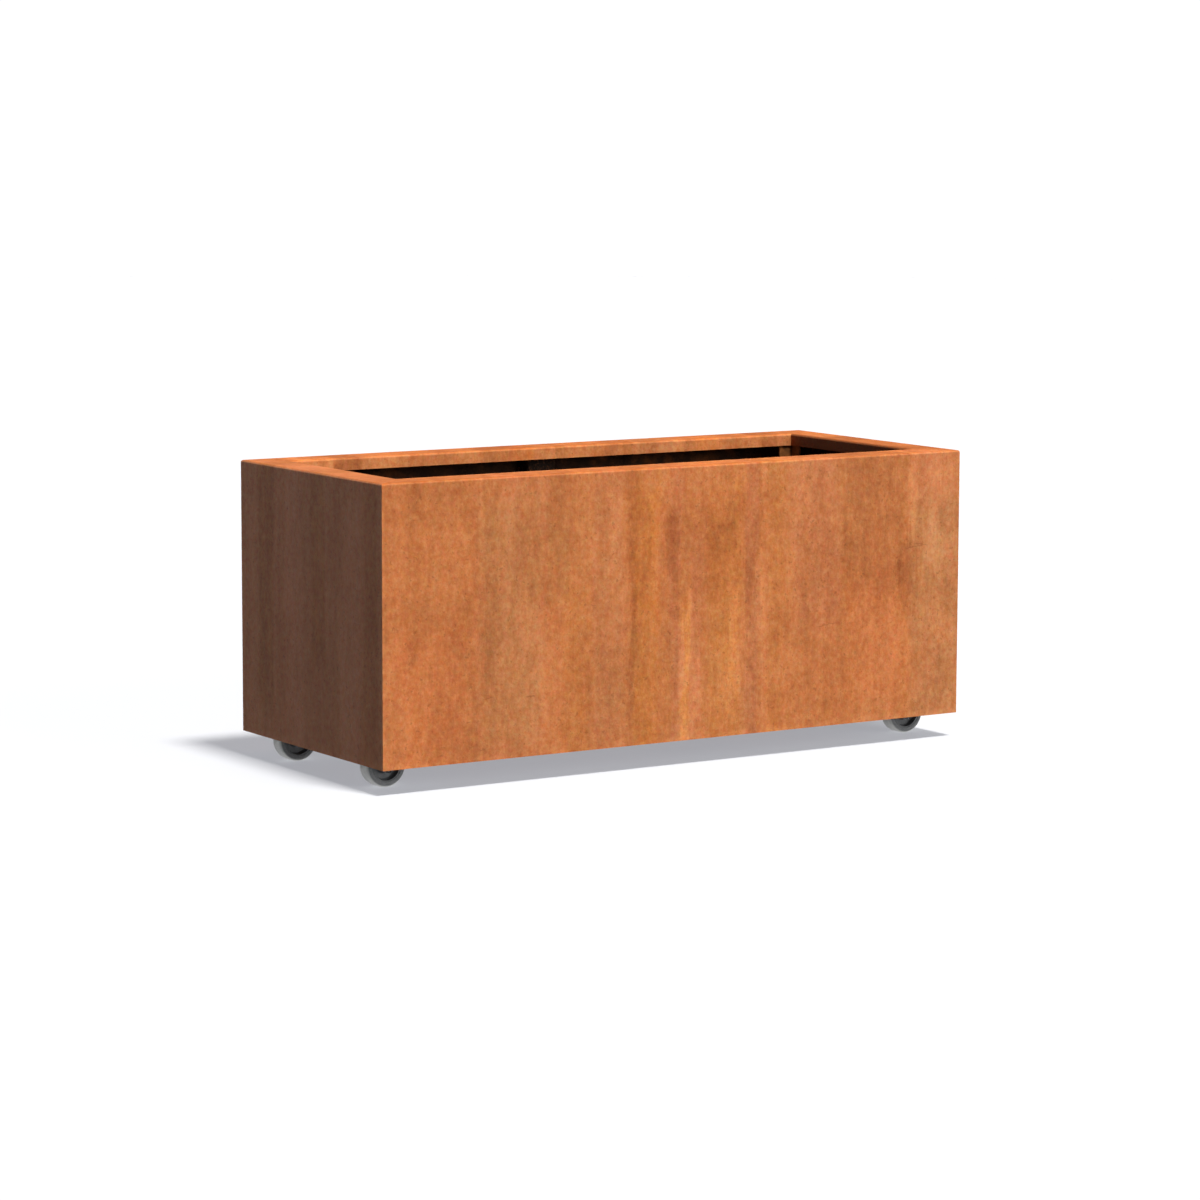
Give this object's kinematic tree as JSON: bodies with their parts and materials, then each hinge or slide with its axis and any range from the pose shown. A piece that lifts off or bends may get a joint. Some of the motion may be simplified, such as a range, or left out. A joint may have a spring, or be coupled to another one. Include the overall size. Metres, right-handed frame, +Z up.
{
  "type": "rolling planter",
  "caption": "Long rectangular planter of weathering steel with a folded rim and lip, on swivel castors hidden behind its skirt.",
  "frame": {"origin": "centre of the footprint, on the ground under the wheels", "axes": "+X along the length to the right, -Y towards the front wall, +Z up"},
  "size_m": [1.2, 0.5, 0.524],
  "materials": {
    "rusted_steel": "weathering steel with an orange-brown rust patina, fine mottled grain and soft vertical streaks",
    "zinc_pressing": "pressed steel, blue zinc plated",
    "bright_steel": "bright steel, lightly greased",
    "zinc_fasteners": "zinc plated fasteners",
    "moulded_wheel_centre": "grey moulded polypropylene",
    "grey_rubber": "smooth grey rubber"
  },
  "bodies": {
    "planter": {"front_wall": "rusted_steel", "back_wall": "rusted_steel", "left_end_wall": "rusted_steel", "right_end_wall": "rusted_steel", "floor_pan": "rusted_steel", "left_castor_rail": "rusted_steel", "right_castor_rail": "rusted_steel", "middle_rail": "rusted_steel", "front_upright": "rusted_steel", "back_upright": "rusted_steel", "castor_bolts": "zinc_fasteners", "bolt_washers": "zinc_fasteners", "castor_nuts": "zinc_fasteners", "front_left_lip_bracket": "rusted_steel", "front_left_castor_plate": "zinc_pressing", "front_left_kingpin": "bright_steel", "front_left_race_balls": "bright_steel", "front_left_race_cup": "zinc_pressing", "front_right_lip_bracket": "rusted_steel", "front_right_castor_plate": "zinc_pressing", "front_right_kingpin": "bright_steel", "front_right_race_balls": "bright_steel", "front_right_race_cup": "zinc_pressing", "back_left_lip_bracket": "rusted_steel", "back_left_castor_plate": "zinc_pressing", "back_left_kingpin": "bright_steel", "back_left_race_balls": "bright_steel", "back_left_race_cup": "zinc_pressing", "back_right_lip_bracket": "rusted_steel", "back_right_castor_plate": "zinc_pressing", "back_right_kingpin": "bright_steel", "back_right_race_balls": "bright_steel", "back_right_race_cup": "zinc_pressing"},
    "front_left_castor": {"front_left_fork": "zinc_pressing", "front_left_axle_bolt": "zinc_fasteners", "front_left_axle_nut": "zinc_fasteners", "front_left_axle_sleeve": "bright_steel"},
    "front_left_wheel": {"front_left_wheel_core": "moulded_wheel_centre", "front_left_tyre": "grey_rubber"},
    "front_right_castor": {"front_right_fork": "zinc_pressing", "front_right_axle_bolt": "zinc_fasteners", "front_right_axle_nut": "zinc_fasteners", "front_right_axle_sleeve": "bright_steel"},
    "front_right_wheel": {"front_right_wheel_core": "moulded_wheel_centre", "front_right_tyre": "grey_rubber"},
    "back_left_castor": {"back_left_fork": "zinc_pressing", "back_left_axle_bolt": "zinc_fasteners", "back_left_axle_nut": "zinc_fasteners", "back_left_axle_sleeve": "bright_steel"},
    "back_left_wheel": {"back_left_wheel_core": "moulded_wheel_centre", "back_left_tyre": "grey_rubber"},
    "back_right_castor": {"back_right_fork": "zinc_pressing", "back_right_axle_bolt": "zinc_fasteners", "back_right_axle_nut": "zinc_fasteners", "back_right_axle_sleeve": "bright_steel"},
    "back_right_wheel": {"back_right_wheel_core": "moulded_wheel_centre", "back_right_tyre": "grey_rubber"}
  },
  "joints": [
    {"name": "front_left_swivel", "type": "hinge", "parent": "planter", "child": "front_left_castor", "pos_m": [-0.515, -0.155, 0.09], "axis": [0, 0, 1], "continuous": true},
    {"name": "front_left_roll", "type": "hinge", "parent": "front_left_castor", "child": "front_left_wheel", "pos_m": [-0.547, -0.155, 0.0375], "axis": [0, 1, 0], "continuous": true},
    {"name": "front_right_swivel", "type": "hinge", "parent": "planter", "child": "front_right_castor", "pos_m": [0.515, -0.155, 0.09], "axis": [0, 0, 1], "continuous": true},
    {"name": "front_right_roll", "type": "hinge", "parent": "front_right_castor", "child": "front_right_wheel", "pos_m": [0.547, -0.155, 0.0375], "axis": [0, 1, 0], "continuous": true},
    {"name": "back_left_swivel", "type": "hinge", "parent": "planter", "child": "back_left_castor", "pos_m": [-0.515, 0.155, 0.09], "axis": [0, 0, 1], "continuous": true},
    {"name": "back_left_roll", "type": "hinge", "parent": "back_left_castor", "child": "back_left_wheel", "pos_m": [-0.547, 0.155, 0.0375], "axis": [0, 1, 0], "continuous": true},
    {"name": "back_right_swivel", "type": "hinge", "parent": "planter", "child": "back_right_castor", "pos_m": [0.515, 0.155, 0.09], "axis": [0, 0, 1], "continuous": true},
    {"name": "back_right_roll", "type": "hinge", "parent": "back_right_castor", "child": "back_right_wheel", "pos_m": [0.547, 0.155, 0.0375], "axis": [0, 1, 0], "continuous": true}
  ]
}
